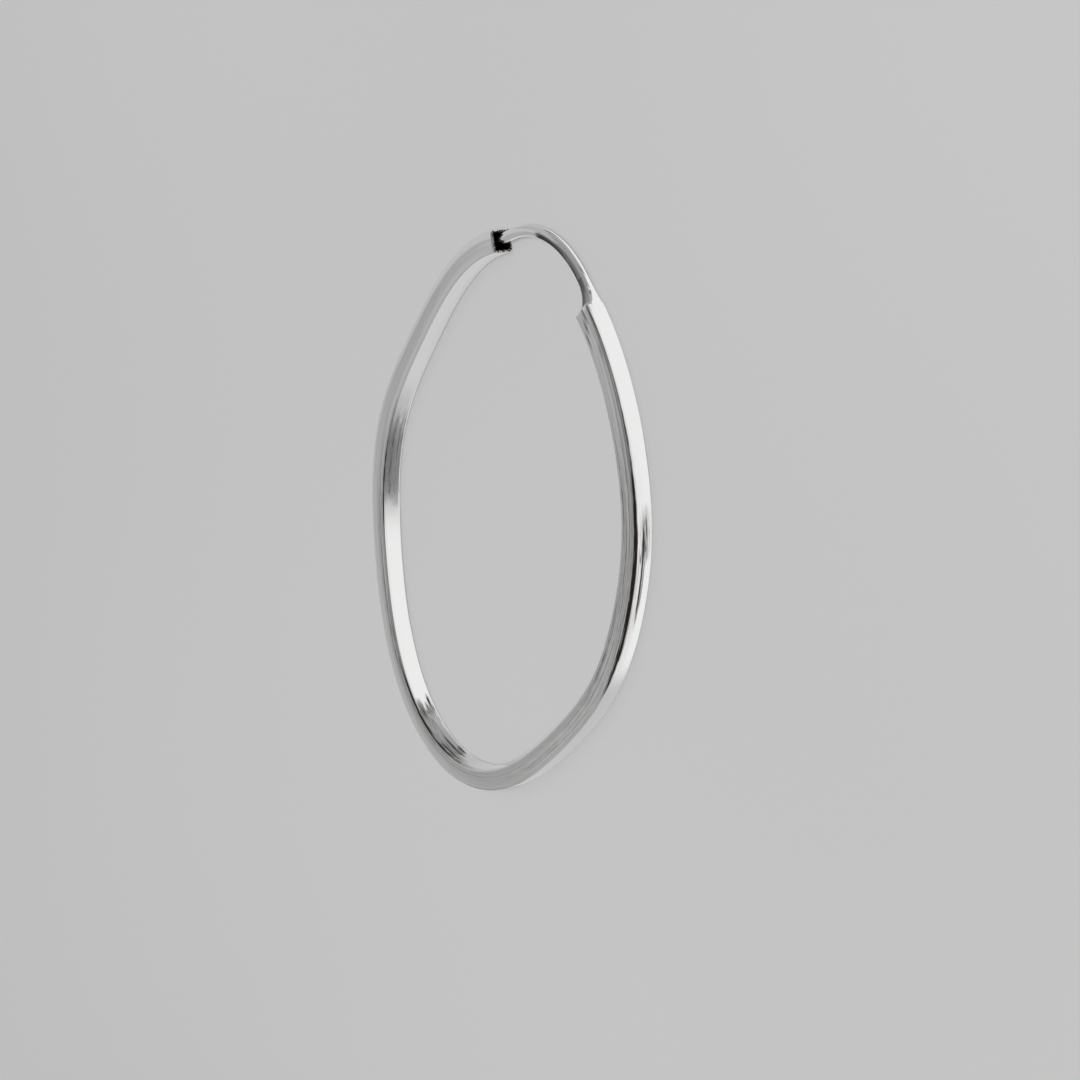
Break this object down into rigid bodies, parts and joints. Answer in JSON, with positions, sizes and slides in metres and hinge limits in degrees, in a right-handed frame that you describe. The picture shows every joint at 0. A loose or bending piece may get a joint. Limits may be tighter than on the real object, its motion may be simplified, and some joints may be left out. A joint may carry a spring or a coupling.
{
  "type": "hoop earring",
  "caption": "Oval hoop earring of square silver tube, with a round ear wire that arches over the gap into the tube's open end.",
  "frame": {"origin": "middle of the earring's footprint, on the surface that it lies on", "axes": "+Z out of the side that lies upwards, +Y along the loop's longer axis towards the ear wire, +X across the loop"},
  "size_m": [0.0308, 0.0438, 0.0016],
  "materials": {
    "silver": "polished silver with fine scratches along the tube"
  },
  "bodies": {
    "root": {"hoop": "silver"}
  },
  "joints": []
}
